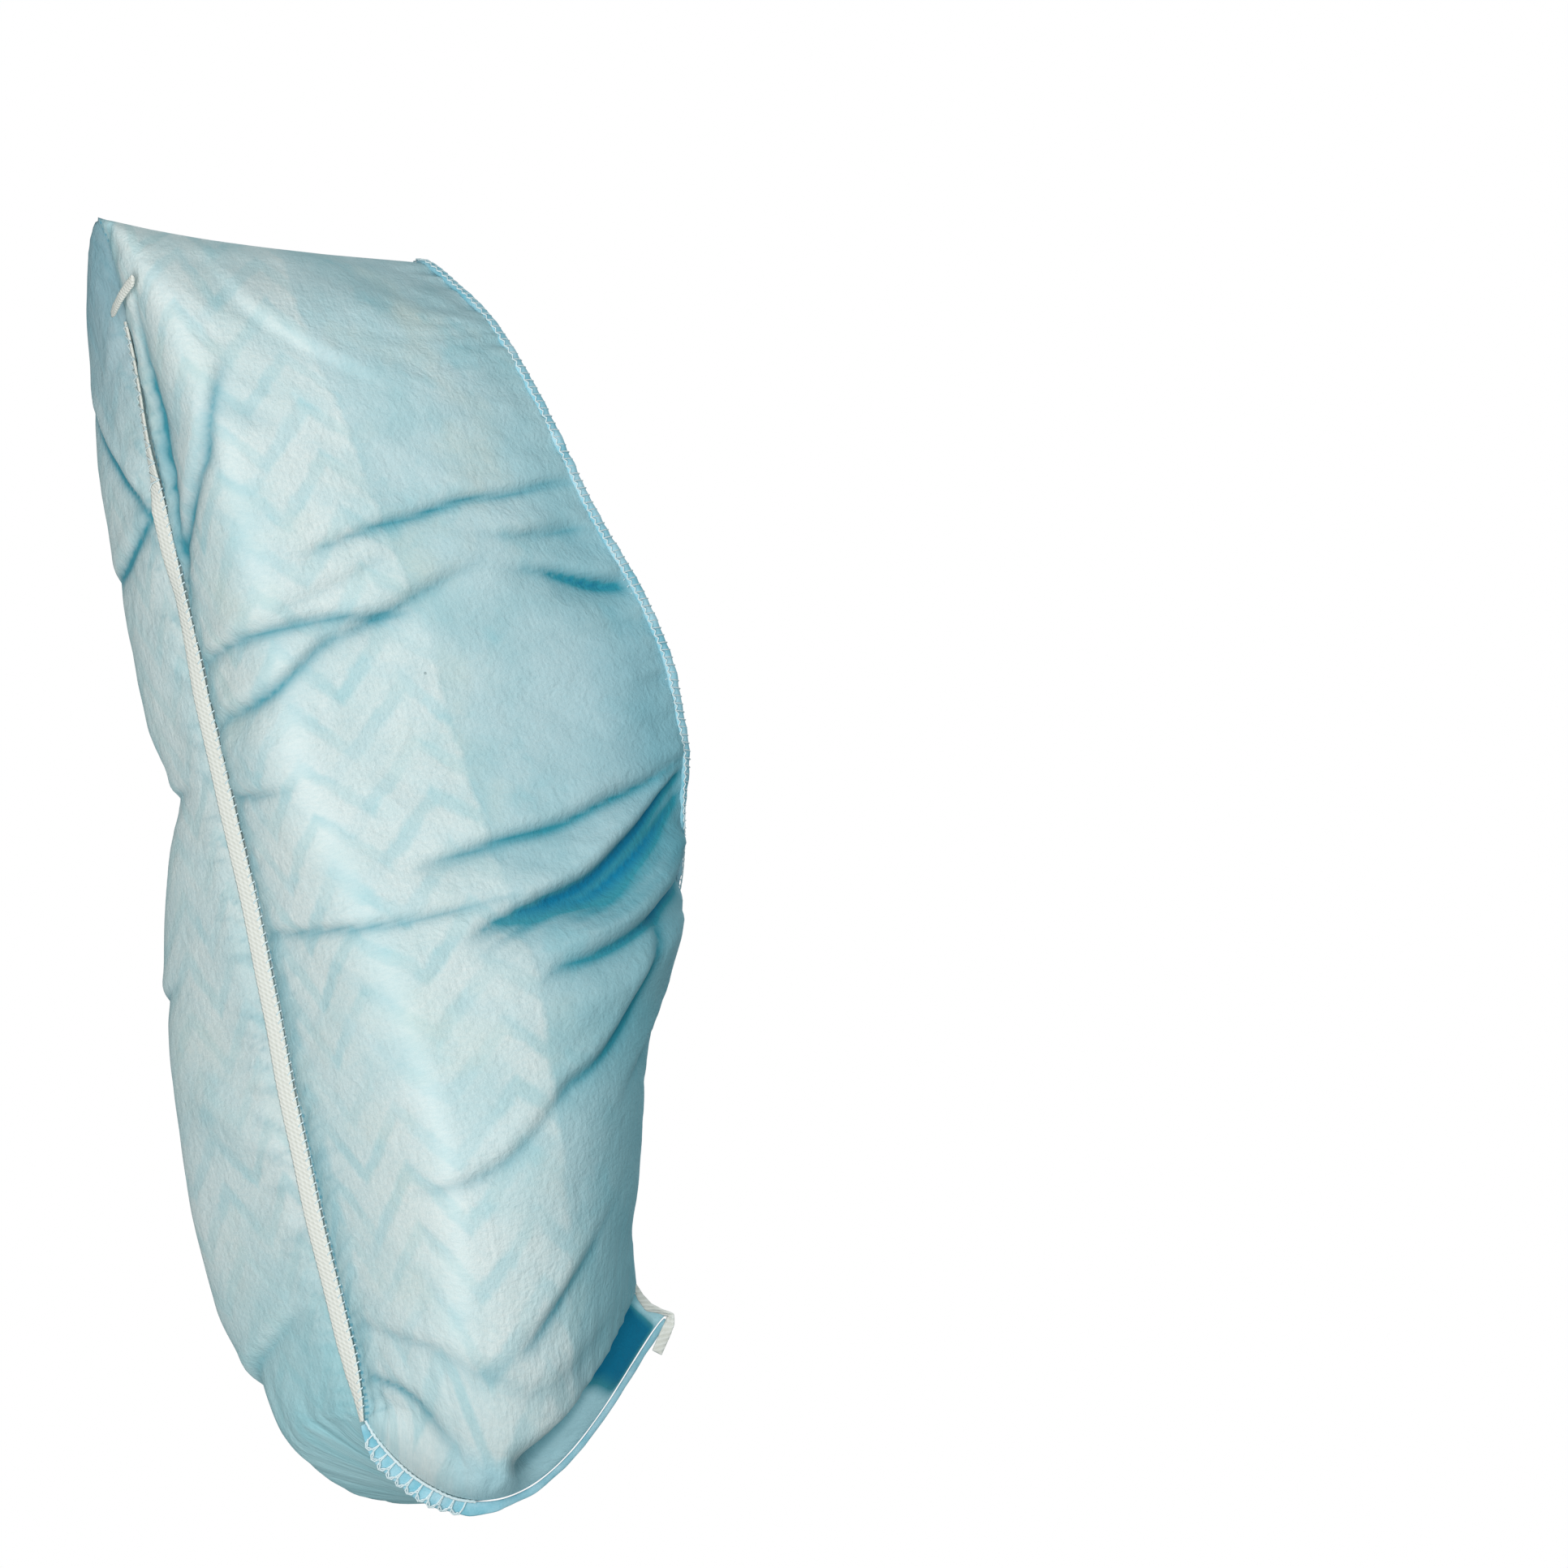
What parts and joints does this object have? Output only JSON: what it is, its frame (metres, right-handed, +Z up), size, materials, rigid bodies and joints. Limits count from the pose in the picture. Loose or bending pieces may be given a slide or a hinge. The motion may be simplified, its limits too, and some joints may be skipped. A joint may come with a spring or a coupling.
{
  "type": "disposable shoe cover",
  "caption": "Soft non-woven bag that covers a shoe, with a centre seam under the sole and an elastic opening at the ankle.",
  "frame": {"origin": "where the foot rests inside, on the inner face of the sole at its middle, 130 mm from the heel corner", "axes": "+X from heel to toe along the sole seam, +Z up towards the opening, +Y to the half whose sole edge hangs lower at the ball of the foot"},
  "size_m": [0.3393, 0.119, 0.1274],
  "materials": {
    "nonwoven_cloth": "light aqua spunbond polypropylene, slightly see-through, with a milky anti-skid print",
    "elastic_tape": "off-white knitted elastic tape",
    "overlock_thread": "pale overlock thread over the gathered cloth edge"
  },
  "bodies": {
    "root": {"cover_shell": "nonwoven_cloth", "sole_seam_tape": "elastic_tape", "heel_tape_tail": "elastic_tape", "toe_seam_overlock": "overlock_thread", "toe_tape_tail": "elastic_tape", "rim_hem": "overlock_thread"}
  },
  "joints": []
}
